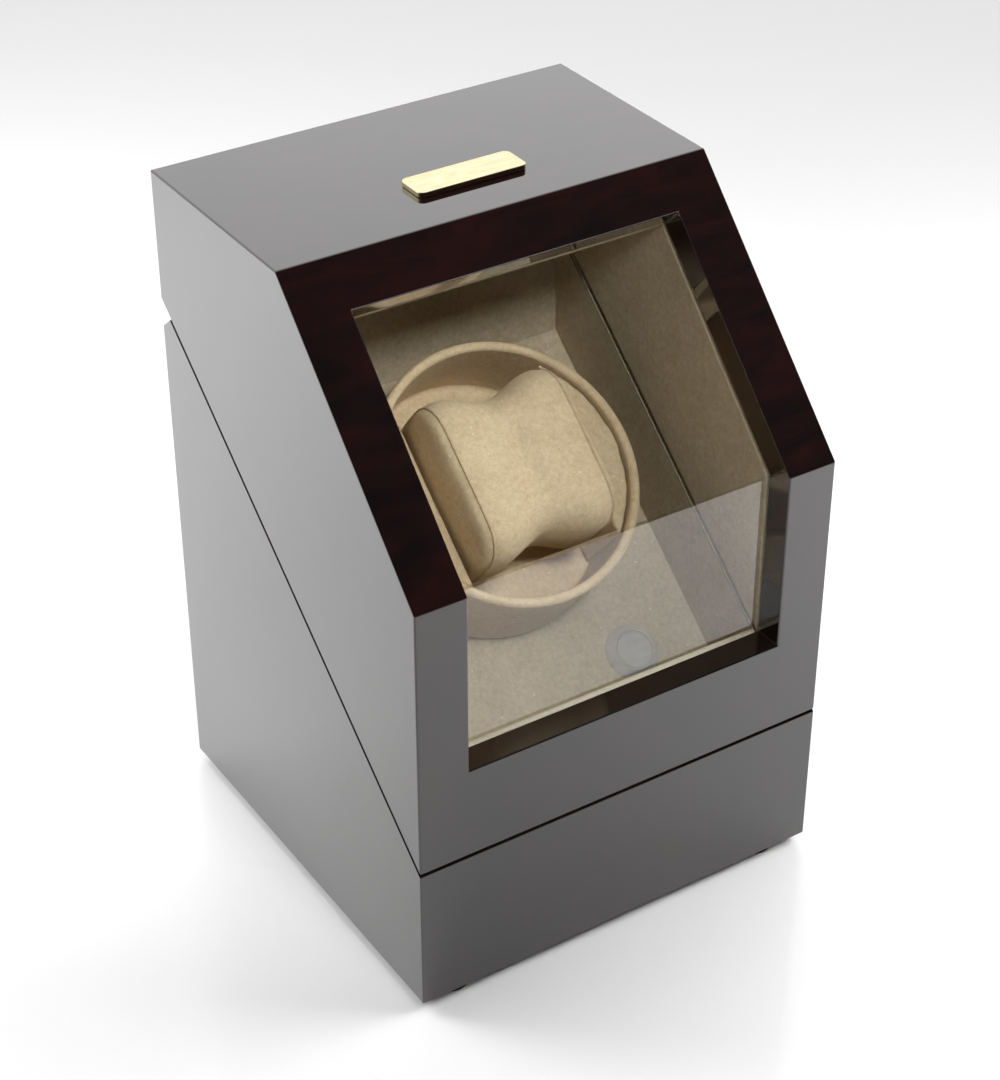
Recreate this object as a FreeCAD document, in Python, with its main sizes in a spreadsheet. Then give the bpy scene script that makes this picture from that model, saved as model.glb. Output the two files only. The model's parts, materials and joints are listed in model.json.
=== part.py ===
import FreeCAD, Part

import math
import os
import re
import Sketcher
from FreeCAD import Vector

# Watch winder box: a wooden base and a hinged lid that part on a slope, a lined tub with a tilted
# panel, and a motor-driven drum that holds a cuff.  Millimetres, +Z up.  The origin is on the floor,
# under the middle of the box; the front faces -Y.  Panel frame: x across, u up the tilted panel,
# w out of it, from the point where the drum's axis meets the panel's top face.

sizes = {
    # wooden case
    "width": 142.0, "depth": 143.0, "height": 211.0, "wall": 9.5, "edge_round": 1.2,
    "foot_height": 3.5, "foot_radius": 6.2, "foot_taper": 0.6, "foot_inset_x": 14.2, "foot_inset_y": 8.0,
    "break_height": 139.4, "top_depth": 74.6, "tilt": 40.0, "split_front": 49.6, "split_gap": 0.6,
    "hinge_inset": 5.1, "chamfer_angle": 39.0,
    "floor_board": 6.0, "access_length": 84.0, "access_width": 64.0, "access_ledge": 6.0,
    "cover_plate": 2.0, "cover_gap": 0.3,
    # window
    "sill_height": 80.3, "window_top_margin": 15.9, "glass": 3.0, "glass_seat": 3.0, "glass_gap": 0.2,
    # linings
    "lining": 6.8, "nest_gap": 0.4, "lip": 14.8, "lining_gap": 1.0, "front_lining": 2.5,
    "top_lining": 3.0, "rear_space": 7.4, "tub_front_drop": 8.0, "fit_gap": 0.15,
    "panel_drop": 13.5, "panel": 5.0,
    # drum, in the panel frame
    "drum_setback": 46.4, "drum_radius": 42.2, "drum_wall": 3.0, "drum_float": 1.0, "drum_rise": 32.5,
    "drum_floor": 3.0, "slot_width": 50.0, "pad_gap": 0.3, "pad_below_rim": 0.6, "rim_round": 1.4,
    # cuff
    "cuff_length": 49.0, "cuff_slack": 5.2, "cuff_thick": 37.0, "cuff_rise": 15.0, "cuff_round": 12.0,
    "cuff_end_round": 2.5, "core_length": 40.0, "core_inset": 8.0, "core_wall": 2.0, "core_slit": 10.0,
    "core_gap": 0.3,
    # drive
    "shaft_radius": 2.5, "run_gap": 0.05, "bush_radius": 5.0, "bush_flange_radius": 7.0,
    "bush_flange": 0.8, "gear_module": 0.8, "pinion_teeth": 10.0, "wheel_teeth": 40.0,
    "pinion_addendum": 0.8, "wheel_addendum": 0.48, "dedendum": 1.0, "backlash": 0.14,
    "gear_width": 3.0, "gear_space": 1.0, "axle_radius": 1.0, "gearbox_wall": 2.0, "gearbox_top": 2.5,
    "gear_margin": 1.8, "second_x": -16.0, "first_u": -24.0, "screw_flange": 7.0,
    "motor_radius": 12.0, "motor_length": 22.0, "motor_shaft_radius": 1.0, "motor_hole_gap": 0.1,
    "motor_collar": 8.0, "collar_wall": 2.0,
    "drum_screw_head": 5.0, "drum_screw_thick": 2.0, "drum_screw_radius": 1.5,
    # fasteners
    "screw_radius": 1.25, "screw_head": 2.4, "screw_head_thick": 1.4, "screw_grip": 3.0,
    # control button, in the panel frame
    "button_x": 29.0, "button_u": -59.0, "bezel_radius": 8.8, "bezel_top_radius": 6.4,
    "bezel_height": 2.6, "bezel_lip": 0.5, "barrel_radius": 7.8, "barrel_length": 15.0,
    "cap_radius": 5.9, "cap_gap": 0.1, "cap_thick": 5.0, "cap_round": 0.3, "stem_radius": 2.0,
    "button_travel": 1.5, "stop_gap": 0.3, "ledge_thick": 2.0, "clip_radius": 3.2, "clip_thick": 1.0,
    "nut_radius": 10.5, "nut_thick": 2.5, "switch_length": 18.0, "switch_width": 16.0,
    "switch_depth": 8.0, "switch_bore": 4.0,
    # electrics
    "board_length": 52.0, "board_width": 36.0, "board_thick": 1.6, "board_x": -22.0,
    "board_height": 46.0, "spacer_length": 4.0, "spacer_radius": 2.6, "spacer_inset": 4.0,
    "jack_x": 36.0, "jack_height": 24.0, "jack_radius": 4.0, "jack_flange_radius": 6.0,
    "jack_flange": 1.5, "jack_bore": 2.85, "jack_pin": 1.0, "jack_depth": 9.0, "jack_length": 20.0,
    "jack_nut": 6.8, "chip_height": 6.0, "chip_length": 14.0, "chip_width": 10.0,
    # hinges
    "hinge_x": 40.0, "leaf_length": 22.0, "leaf_width": 6.0, "leaf_thick": 1.0, "knuckle_radius": 2.1,
    "hinge_pin": 0.8, "hinge_gap": 0.3, "hinge_screw_head": 1.3, "hinge_screw_sink": 0.6,
    "hinge_screw": 0.7, "hinge_screw_length": 5.0, "hinge_screw_x": 7.5, "hinge_screw_along": 4.3,
    # name plate
    "plate_length": 36.4, "plate_width": 11.4, "plate_thick": 1.8, "plate_shift": 1.9,
    "plate_from_front": 89.9, "plate_corner": 2.2,
}

# Places that several pieces share, as formulas of the sizes.
places = {
    "front": "(-depth/2)", "rear": "(depth/2)", "under": "foot_height",
    "side_in": "(width/2 - wall)", "front_in": "(front + wall)", "rear_in": "(rear - wall)",
    "top": "(under + height)", "break_z": "(under + break_height)", "top_front": "(rear - top_depth)",
    "slope_run": "(depth - top_depth)", "slope_rise": "(height - break_height)",
    "slope_length": "sqrt(slope_run^2 + slope_rise^2)",
    "slope_cos": "(slope_run/slope_length)", "slope_sin": "(slope_rise/slope_length)",
    "break_miter": "((slope_length - slope_rise)/slope_run)",
    "top_miter": "((slope_length - slope_run)/slope_rise)",
    "split_z": "(under + split_front)", "hinge_y": "(rear - hinge_inset)",
    "hinge_z": "(split_z + (depth - hinge_inset)*tan(tilt))",
    "sill": "(under + sill_height)",
    "window_width": "(2*(side_in - lining - nest_gap))",
    "tub_half": "(side_in - nest_gap)", "tub_in": "(tub_half - lining)",
    "tub_rear": "(rear_in - rear_space - lining)", "tub_rear_out": "(rear_in - rear_space)",
    "tub_front_out": "(front_in + front_lining + nest_gap)",
    "panel_z": "(split_z - panel_drop/cos(tilt))",
    "lip_z": "(split_z + lip/cos(tilt))",
    "axis_y": "(tub_rear - drum_setback*cos(tilt))",
    "axis_z": "(panel_z + (axis_y - front)*tan(tilt))",
    "drum_inner": "(drum_radius - drum_wall)",
    "gearbox_roof": "(-panel)", "gear_top": "(gearbox_roof - gearbox_top - gear_space)",
    "layer_step": "(gear_width + gear_space)",
    "gearbox_foot": "(gear_top - 3*layer_step)",
    "cover_foot": "(gearbox_foot - gearbox_top)",
    "pitch": "(gear_module*(pinion_teeth + wheel_teeth)/2)",
    "wheel_tip": "(gear_module*wheel_teeth/2 + wheel_addendum)",
    "second_u": "(-sqrt(pitch^2 - second_x^2))",
    "motor_x": "(-second_x)", "motor_u": "(first_u + second_u)",
    "box_left": "(second_x - wheel_tip - gear_margin)",
    "box_right": "(motor_x + gear_module*pinion_teeth/2 + pinion_addendum + gear_margin)",
    "box_low": "(first_u - wheel_tip - gear_margin)", "box_high": "(wheel_tip + gear_margin)",
    "plate_y": "(front + plate_from_front)",
    "base_crest": "(hinge_z - split_gap/cos(tilt))",
    "chamfer_foot": "(base_crest - hinge_inset*tan(chamfer_angle))",
    "leaf_drop": "(-split_gap/cos(tilt)*cos(chamfer_angle))",
    "cuff_size": "(2*sqrt(drum_inner^2 - (cuff_length/2)^2) - cuff_slack)",
    "cuff_foot": "(drum_rise + cuff_rise - cuff_thick)",
    "cap_under": "(bezel_height - cap_thick)",
    "ledge_top": "(cap_under - button_travel - stop_gap)", "ledge_foot": "(ledge_top - ledge_thick)",
}

doc = FreeCAD.newDocument("WatchWinderBox")
sheet = doc.addObject("Spreadsheet::Sheet", "Sizes")
for row, (name, size) in enumerate(sizes.items(), start=1):
    sheet.set("A%d" % row, name)
    sheet.set("B%d" % row, str(size))
    sheet.setAlias("B%d" % row, name)
doc.recompute()



def value(name):
    return float(sheet.get(name))


parts = []
word = re.compile(r"[a-z_]+(?:\d[a-z_]*)?")


def formula(text):
    """Spell out the shared places and point every size at the sheet."""
    def spell(match):
        name = match.group(0)
        if name in places:
            return formula(places[name])
        return "Sizes." + name if name in sizes else name
    return word.sub(spell, str(text))


gauge = doc.addObject("Part::Box", "Gauge")


def measure(text):
    """The present value of a formula, for geometry that Part builds directly."""
    gauge.setExpression("Placement.Base.x", formula(text))
    doc.recompute([gauge])
    return gauge.Placement.Base.x


def keep(piece, label):
    piece.Label = label
    parts.append(piece)
    return piece


def new_body(label):
    return keep(doc.addObject("PartDesign::Body", "Body_" + label), label)


def origin_feature(body, role):
    return [item for item in body.Origin.OriginFeatures if item.Role == role][0]


def outline(body, role, points):
    """Closed polygon on an origin plane, each corner held by two formulas."""
    sketch = body.newObject("Sketcher::SketchObject", "Outline")
    sketch.AttachmentSupport = [(origin_feature(body, role), "")]
    sketch.MapMode = "FlatFace"
    count = len(points)
    ring = [Vector(math.cos(2*math.pi*i/count), math.sin(2*math.pi*i/count), 0) for i in range(count)]
    for i in range(count):
        sketch.addGeometry(Part.LineSegment(ring[i], ring[(i + 1) % count]), False)
    for i in range(count):
        sketch.addConstraint(Sketcher.Constraint("Coincident", i, 2, (i + 1) % count, 1))
    for i, (across, up) in enumerate(points):
        for kind, text in (("DistanceX", across), ("DistanceY", up)):
            index = sketch.addConstraint(Sketcher.Constraint(kind, -1, 1, i, 1, 1.0))
            sketch.setExpression("Constraints[%d]" % index, formula(text))
    return sketch


def pad(body, points, length, centred=True):
    """Side outline (y, z) padded along X."""
    feature = body.newObject("PartDesign::Pad", "Pad")
    feature.Profile = outline(body, "YZ_Plane", points)
    feature.Midplane = centred
    feature.setExpression("Length", formula(length))
    return feature


def pocket(body, points, length, role="YZ_Plane"):
    """Outline cut through, half of the length to each side of its plane."""
    feature = body.newObject("PartDesign::Pocket", "Pocket")
    feature.Profile = outline(body, role, points)
    feature.Midplane = True
    feature.setExpression("Length", formula(length))
    return feature


def board(label, points, length, start=None):
    """Board with a side outline: centred on X = 0, or running from start towards +X."""
    body = new_body(label)
    pad(body, points, length, centred=start is None)
    if start is not None:
        body.setExpression("Placement.Base.x", formula(start))
    return body


def round_edges(body, radius, wanted):
    """Fillet the edges whose middle satisfies wanted."""
    doc.recompute()
    last = body.Tip
    names = []
    for number, edge in enumerate(last.Shape.Edges, start=1):
        middle = edge.valueAt((edge.FirstParameter + edge.LastParameter)/2)
        if wanted(middle):
            names.append("Edge%d" % number)
    feature = body.newObject("PartDesign::Fillet", "Fillet")
    feature.Base = (last, names)
    feature.setExpression("Radius", formula(radius))
    return feature


def revolved(label, points):
    """Outline (r, z) turned about the body's own Z axis."""
    body = new_body(label)
    feature = body.newObject("PartDesign::Revolution", "Revolution")
    sketch = outline(body, "XZ_Plane", points)
    feature.Profile = sketch
    feature.ReferenceAxis = (sketch, ["V_Axis"])
    return body


def place(piece, x, y, z):
    for axis, text in zip("xyz", (x, y, z)):
        piece.setExpression("Placement.Base." + axis, formula(text))
    return piece


def tilted(piece, x=0, u=0, w=0):
    """Set a piece into the panel frame."""
    piece.Placement = FreeCAD.Placement(Vector(), FreeCAD.Rotation(Vector(1, 0, 0), 1))
    piece.setExpression("Placement.Rotation.Angle", formula("tilt"))
    return place(piece, x, "axis_y + (%s)*cos(tilt) - (%s)*sin(tilt)" % (u, w),
                 "axis_z + (%s)*sin(tilt) + (%s)*cos(tilt)" % (u, w))


def primitive(kind, name, **formulas):
    piece = doc.addObject("Part::" + kind, name)
    for prop, text in formulas.items():
        piece.setExpression(prop, formula(text))
    return piece


def rod(name, radius, height, x=0, y=0, z=0):
    return place(primitive("Cylinder", name, Radius=radius, Height=height), x, y, z)


def block(name, length, width, height, x, y, z):
    """Box whose middle in x and y, and whose underside, are given."""
    piece = primitive("Box", name, Length=length, Width=width, Height=height)
    return place(piece, "(%s) - (%s)/2" % (x, length), "(%s) - (%s)/2" % (y, width), z)


def cut(base, tool, name="Cut"):
    feature = doc.addObject("Part::Cut", name)
    feature.Base = base
    feature.Tool = tool
    return feature


def fuse(items, name="Fuse"):
    if len(items) == 1:
        return items[0]
    feature = doc.addObject("Part::MultiFuse", name)
    feature.Shapes = items
    return feature


def group(items, name="Group"):
    feature = doc.addObject("Part::Compound", name)
    feature.Links = items
    return feature


def off_hinge(angle, along, out):
    """Point (y, z) at a distance along a ray from the hinge line, and to the left of it."""
    return ("hinge_y + (%s)*cos(%s) - (%s)*sin(%s)" % (along, angle, out, angle),
            "hinge_z + (%s)*sin(%s) + (%s)*cos(%s)" % (along, angle, out, angle))


def split_at(y, drop="0"):
    """Height of the split plane at y, lowered square to the plane by drop."""
    return "split_z + (%s - front)*tan(tilt) - (%s)/cos(tilt)" % (y, drop)


def plane_at(base, y, drop="0"):
    return "%s + (%s - front)*tan(tilt) - (%s)/cos(tilt)" % (base, y, drop)


# Wooden base.

def base_side(label, start, outer_face):
    body = board(label, [("front", "under"), ("rear", "under"), ("rear", "chamfer_foot"),
                         ("hinge_y", "base_crest"), ("front", split_at("front", "split_gap"))],
                 "wall", start)
    round_edges(body, "edge_round", lambda point: abs(point.x - outer_face) < 0.01)
    return body


base_side("base_left_side", "-width/2", 0)
base_side("base_right_side", "side_in", value("wall"))

board("base_front_panel", [("front", "under"), ("front_in", "under"),
                           ("front_in", split_at("front_in", "split_gap")),
                           ("front", split_at("front", "split_gap"))], "2*side_in")

rear_wood = board("base_rear_wood", [("rear_in", "under"), ("rear", "under"),
                                     ("rear", "chamfer_foot"),
                                     ("hinge_y", "base_crest"), ("rear_in", split_at("rear_in", "split_gap"))],
                  "2*side_in")
parts.remove(rear_wood)


def jack_rod(name, radius, start, length):
    """Rod along +Y at the inlet's height, from a distance inside the rear face."""
    piece = primitive("Cylinder", name, Radius=radius, Height=length)
    piece.Placement = FreeCAD.Placement(Vector(), FreeCAD.Rotation(Vector(1, 0, 0), 90))
    return place(piece, "jack_x", "rear - (%s) + (%s)" % (start, length), "under + jack_height")


def hinge_rod(name, radius, length, x):
    """Rod along X on the hinge line, centred on x."""
    piece = primitive("Cylinder", name, Radius=radius, Height=length)
    piece.Placement = FreeCAD.Placement(Vector(), FreeCAD.Rotation(Vector(0, 1, 0), 90))
    return place(piece, "(%s) - (%s)/2" % (x, length), "hinge_y", "hinge_z")


def on_ray(piece, angle, x, along, out):
    """Set a piece on a ray from the hinge line: its Y runs along the ray, its Z away from it."""
    piece.Placement = FreeCAD.Placement(Vector(), FreeCAD.Rotation(Vector(1, 0, 0), 1))
    piece.setExpression("Placement.Rotation.Angle", formula(angle))
    return place(piece, x, *off_hinge(angle, along, out))


hinge_spots = ("-hinge_x", "hinge_x")
screw_spots = [(x + side + "hinge_screw_x") for x in hinge_spots for side in ("-", "+")]


def hinge_mortise(name, angle, face, inward):
    """Room for both knuckles, for one leaf of each hinge and for its screws, in a board's face."""
    leaf_foot = face if inward == "+" else "(%s - leaf_thick)" % face
    screw_foot = face if inward == "+" else "(%s - hinge_screw_length)" % face
    items = []
    for x in hinge_spots:
        items.append(hinge_rod(name + "Groove", "knuckle_radius + hinge_gap", "leaf_length + 2*hinge_gap", x))
        room = primitive("Box", name + "Leaf", Length="leaf_length + 2*hinge_gap",
                         Width="leaf_width + hinge_gap", Height="leaf_thick")
        items.append(on_ray(room, angle, "(%s) - leaf_length/2 - hinge_gap" % x, "0", leaf_foot))
    for x in screw_spots:
        hole = primitive("Cylinder", name + "Screw", Radius="hinge_screw", Height="hinge_screw_length")
        items.append(on_ray(hole, angle, x, "hinge_screw_along", screw_foot))
    return fuse(items, name)


rear_tools = fuse([hinge_mortise("BaseMortise", "(-chamfer_angle)", "leaf_drop", "-"),
                   jack_rod("JackHole", "jack_radius", "wall", "wall"),
                   jack_rod("JackRecess", "jack_flange_radius", "jack_flange", "jack_flange")], "RearTools")
keep(cut(rear_wood, rear_tools), "base_rear_panel")

floor_blank = block("FloorBlank", "2*side_in", "depth - 2*wall", "floor_board", "0", "0", "under")
access_hole = block("AccessHole", "access_length - 2*access_ledge", "access_width - 2*access_ledge",
                    "floor_board", "0", "0", "under")
access_recess = block("AccessRecess", "access_length", "access_width", "cover_plate", "0", "0", "under")
cover_blank = block("CoverBlank", "access_length - 2*cover_gap", "access_width - 2*cover_gap",
                    "cover_plate", "0", "0", "under")


def four_corners(name, make, span_x, span_y):
    """Group of four like pieces on a rectangle."""
    items = []
    for side_x in (-1, 1):
        for side_y in (-1, 1):
            items.append(make(name, "%d*(%s)" % (side_x, span_x), "%d*(%s)" % (side_y, span_y)))
    return items


cover_screw_x = "(access_length - access_ledge)/2"
cover_screw_y = "(access_width - access_ledge)/2"


def screw_rods(name, radius, height):
    """Rods up from the underside at the four screws of the access cover."""
    return four_corners(name, lambda label, x, y: rod(label, radius, height, x, y, "under"),
                        cover_screw_x, cover_screw_y)


cover_holes = screw_rods("CoverHole", "screw_radius", "floor_board")
floor_holes = screw_rods("FloorHole", "screw_radius", "cover_plate + screw_grip")
cover_sinks = screw_rods("CoverSink", "screw_head", "screw_head_thick")
keep(cut(cut(floor_blank, fuse([access_hole, access_recess])), group(floor_holes)), "base_bottom_panel")
keep(cut(cover_blank, group(cover_holes + cover_sinks)), "access_cover")


def flat_screw(name, x, y):
    """Screw driven up into the floor board, head flush with the cover."""
    head = rod(name + "Head", "screw_head", "screw_head_thick", x, y, "under")
    shank = rod(name + "Shank", "screw_radius", "cover_plate + screw_grip", x, y, "under")
    return fuse([head, shank], name)


keep(group(four_corners("CoverScrew", flat_screw, cover_screw_x, cover_screw_y)), "cover_screws")


def foot(name, x, y):
    piece = primitive("Cone", name, Radius1="foot_radius - foot_taper", Radius2="foot_radius",
                      Height="foot_height")
    return place(piece, x, y, "0")


keep(group(four_corners("Foot", foot, "width/2 - foot_inset_x", "depth/2 - foot_inset_y")), "rubber_feet")

# Lined tub in the base.

tub_side = [("front_in + nest_gap", plane_at("panel_z", "(front_in + nest_gap)")),
            ("tub_rear_out", plane_at("panel_z", "tub_rear_out")),
            ("tub_rear_out", plane_at("lip_z", "tub_rear_out", "lining_gap/2")),
            ("front_in + nest_gap", plane_at("lip_z", "(front_in + nest_gap)", "lining_gap/2"))]
board("tub_left_wall", tub_side, "lining", "-tub_half")
board("tub_right_wall", tub_side, "lining", "tub_in")
board("tub_rear_wall", [("tub_rear", plane_at("panel_z", "tub_rear")),
                        ("tub_rear_out", plane_at("panel_z", "tub_rear_out")),
                        ("tub_rear_out", plane_at("lip_z", "tub_rear_out", "lining_gap/2")),
                        ("tub_rear", plane_at("lip_z", "tub_rear", "lining_gap/2"))], "2*tub_in")
board("tub_front_wall", [("tub_front_out", plane_at("panel_z", "tub_front_out")),
                         ("tub_front_out + lining", plane_at("panel_z", "(tub_front_out + lining)")),
                         ("tub_front_out + lining", plane_at("lip_z", "tub_front_out", "tub_front_drop")),
                         ("tub_front_out", plane_at("lip_z", "tub_front_out", "tub_front_drop"))], "2*tub_in")

panel_blank = board("PanelBlank", [("front_in", plane_at("panel_z", "front_in", "panel")),
                                   ("tub_rear_out", plane_at("panel_z", "tub_rear_out", "panel")),
                                   ("tub_rear_out", plane_at("panel_z", "tub_rear_out")),
                                   ("front_in", plane_at("panel_z", "front_in"))], "2*(side_in - fit_gap)")
parts.remove(panel_blank)

flange_screws = [(x, u)
                 for x in ("box_left - gearbox_wall - screw_flange/2", "box_right + gearbox_wall + screw_flange/2")
                 for u in ("box_low + screw_flange", "box_high - screw_flange")]


def deep_rod(name, radius, height, x, u, w):
    return tilted(primitive("Cylinder", name, Radius=radius, Height=height), x, u, w)


panel_holes = [deep_rod("BushHole", "bush_radius", "panel", 0, 0, "-panel"),
               deep_rod("ButtonHole", "barrel_radius", "panel", "button_x", "button_u", "-panel")]
panel_holes += [deep_rod("ScrewHole", "screw_radius", "screw_grip", x, u, "-panel")
                for x, u in flange_screws]
keep(cut(panel_blank, group(panel_holes)), "drum_panel")

# Drum and cuff.

drum_cup = revolved("drum_cup", [("shaft_radius", "drum_float"), ("drum_radius", "drum_float"),
                                 ("drum_radius", "drum_rise"), ("drum_inner", "drum_rise"),
                                 ("drum_inner", "drum_float + drum_floor"),
                                 ("shaft_radius", "drum_float + drum_floor")])
round_edges(drum_cup, "rim_round", lambda point: abs(point.z - value("drum_rise")) < 0.01)
tilted(drum_cup)

pad_height = "drum_rise - pad_below_rim - drum_float - drum_floor"


def drum_pad(label, start):
    """D-shaped pad: the part of a disc beyond the slot."""
    disc = primitive("Cylinder", "PadDisc", Radius="drum_inner - pad_gap", Height=pad_height)
    slab = primitive("Box", "PadSlab", Length="drum_inner", Width="2*drum_inner", Height=pad_height)
    place(slab, start, "-drum_inner", "0")
    feature = doc.addObject("Part::Common", "PadCommon")
    feature.Base = disc
    feature.Tool = slab
    return keep(tilted(feature, 0, 0, "drum_float + drum_floor"), label)


drum_pad("drum_left_pad", "-slot_width/2 - drum_inner")
drum_pad("drum_right_pad", "slot_width/2")

shaft_bar = deep_rod("ShaftBar", "shaft_radius", "drum_float + drum_floor - gear_top + gear_width",
                     0, 0, "gear_top - gear_width")
shaft_thread = deep_rod("ShaftThread", "drum_screw_radius", "3*drum_screw_thick", 0, 0,
                        "drum_float + drum_floor - 3*drum_screw_thick")
keep(cut(shaft_bar, shaft_thread), "drum_shaft")
screw_head = deep_rod("DrumScrewHead", "drum_screw_head", "drum_screw_thick", 0, 0, "drum_float + drum_floor")
screw_shank = deep_rod("DrumScrewShank", "drum_screw_radius", "3*drum_screw_thick", 0, 0,
                       "drum_float + drum_floor - 3*drum_screw_thick")
keep(fuse([screw_head, screw_shank]), "drum_screw")

cuff_blank = block("CuffBlank", "cuff_length", "cuff_size", "cuff_thick", "0", "0", "cuff_foot")


def long_edges(shape, radius):
    """Edges along X, each with the fillet radius."""
    found = []
    for number, edge in enumerate(shape.Edges, start=1):
        box = edge.BoundBox
        if box.XLength > box.YLength + box.ZLength:
            found.append((number, radius, radius))
    return found


def rounded_long(source, name, radius):
    doc.recompute()
    feature = doc.addObject("Part::Fillet", name)
    feature.Base = source
    feature.Edges = long_edges(source.Shape, value(radius))
    return feature


cuff_round = rounded_long(cuff_blank, "CuffRound", "cuff_round")
doc.recompute()
end_edges = [(number, value("cuff_end_round"), value("cuff_end_round"))
             for number, edge in enumerate(cuff_round.Shape.Edges, start=1) if edge.BoundBox.XLength < 0.01]
cuff_soft = doc.addObject("Part::Fillet", "CuffSoft")
cuff_soft.Base = cuff_round
cuff_soft.Edges = end_edges
core_room = block("CoreRoom", "core_length + 2*core_gap", "cuff_size - 2*core_inset + 2*core_gap",
                  "cuff_thick - 2*core_inset + 2*core_gap", "0", "0",
                  "cuff_foot + core_inset - core_gap")
keep(tilted(cut(cuff_soft, core_room)), "cuff_cushion")
core_outer = block("CoreOuter", "core_length", "cuff_size - 2*core_inset", "cuff_thick - 2*core_inset",
                   "0", "0", "cuff_foot + core_inset")
core_inner = block("CoreInner", "core_length", "cuff_size - 2*core_inset - 2*core_wall",
                   "cuff_thick - 2*core_inset - 2*core_wall", "0", "0",
                   "cuff_foot + core_inset + core_wall")
core_slit = block("CoreSlit", "core_length", "core_slit", "core_wall", "0", "0", "cuff_foot + core_inset")
keep(tilted(cut(core_outer, fuse([core_inner, core_slit]))), "cuff_core")

# Gear train.

bush_barrel = deep_rod("BushBarrel", "bush_radius", "panel + gearbox_top", 0, 0, "gearbox_roof - gearbox_top")
bush_flange = deep_rod("BushFlange", "bush_flange_radius", "bush_flange", 0, 0,
                       "gearbox_roof - gearbox_top - bush_flange")
bush_bore = deep_rod("BushBore", "shaft_radius + run_gap", "panel + gearbox_top + bush_flange", 0, 0,
                     "gearbox_roof - gearbox_top - bush_flange")
keep(cut(fuse([bush_barrel, bush_flange]), bush_bore), "shaft_bush")

pressure_angle = math.radians(20)


def involute(angle):
    return math.tan(angle) - angle


def toothed_disc(teeth, addendum, bore, phase, width, foot):
    """Spur gear with involute flanks, its first tooth turned to phase."""
    module = value("gear_module")
    pitch_radius = module*teeth/2
    base_radius = pitch_radius*math.cos(pressure_angle)
    root = pitch_radius - value("dedendum")
    tip = pitch_radius + addendum
    half_tooth = math.pi/(2*teeth) - value("backlash")/(2*pitch_radius) + involute(pressure_angle)
    flank_start = max(base_radius, root)
    flank = [(root, half_tooth - involute(math.acos(base_radius/flank_start)))]
    steps = 3
    for i in range(steps + 1):
        radius = flank_start + (tip - flank_start)*i/steps
        flank.append((radius, half_tooth - involute(math.acos(base_radius/radius))))
    if flank[1][0] - flank[0][0] < 0.01:
        flank.pop(0)
    points = []
    for tooth in range(int(teeth)):
        middle = phase + 2*math.pi*tooth/teeth
        side = [(radius, -angle) for radius, angle in flank] + list(reversed(flank))
        for radius, angle in side:
            points.append(Vector(radius*math.cos(middle + angle), radius*math.sin(middle + angle), foot))
    face = Part.Face(Part.makePolygon(points + points[:1]))
    solid = face.extrude(Vector(0, 0, width))
    return solid.cut(Part.makeCylinder(bore, width, Vector(0, 0, foot)))


def meshed_phase(phase, teeth, direction, other_teeth):
    """Phase of a gear that meshes with one of a known phase, its centre lying in a direction."""
    fraction = (direction - phase)*teeth/(2*math.pi)
    return direction + math.pi - 2*math.pi/other_teeth*(0.5 - fraction)


def gear_feature(label, shapes, x, u):
    feature = doc.addObject("Part::Feature", "Gear_" + label)
    solid = shapes[0]
    for other in shapes[1:]:
        solid = solid.fuse(other)
    feature.Shape = solid
    return keep(tilted(feature, x, u, 0), label)


pinion_teeth = value("pinion_teeth")
wheel_teeth = value("wheel_teeth")
width = value("gear_width")
layers = [measure("gear_top - gear_width - %d*layer_step" % i) for i in range(3)]
centres = [Vector(measure(x), measure(u), 0) for x, u in
           (("0", "0"), ("second_x", "second_u"), ("0", "first_u"), ("motor_x", "motor_u"))]
directions = [math.atan2(b.y - a.y, b.x - a.x) for a, b in zip(centres, centres[1:])]
axle_bore = value("axle_radius") + value("run_gap")

wheel_phase = 0.0
gear_feature("drum_wheel", [toothed_disc(wheel_teeth, value("wheel_addendum"), value("shaft_radius"),
                                         wheel_phase, width, layers[0])], "0", "0")
axle_spots = (("second_x", "second_u"), ("0", "first_u"))
for i, (label, (x, u)) in enumerate(zip(("second_gear", "first_gear"), axle_spots)):
    phase = meshed_phase(wheel_phase, wheel_teeth, directions[i], pinion_teeth)
    pinion = toothed_disc(pinion_teeth, value("pinion_addendum"), axle_bore, phase,
                          width + value("gear_space"), layers[i] - value("gear_space"))
    wheel = toothed_disc(wheel_teeth, value("wheel_addendum"), axle_bore, phase, width, layers[i + 1])
    gear_feature(label, [pinion, wheel], x, u)
    wheel_phase = phase
phase = meshed_phase(wheel_phase, wheel_teeth, directions[2], pinion_teeth)
motor_gear = toothed_disc(pinion_teeth, value("pinion_addendum"), value("motor_shaft_radius"), phase, width,
                          layers[2])
gear_feature("motor_pinion", [motor_gear], "motor_x", "motor_u")


def deep_block(name, low_x, high_x, low_u, high_u, low_w, high_w):
    """Box between formulas in the panel frame."""
    piece = primitive("Box", name, Length="(%s) - (%s)" % (high_x, low_x),
                      Width="(%s) - (%s)" % (high_u, low_u), Height="(%s) - (%s)" % (high_w, low_w))
    return tilted(piece, low_x, low_u, low_w)


def axle_rods(name):
    """Rods on the two gear axles, let half-way into the gearbox roof and cover."""
    return [deep_rod(name, "axle_radius", "gearbox_roof - cover_foot - gearbox_top", x, u,
                     "cover_foot + gearbox_top/2") for x, u in axle_spots]


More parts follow.
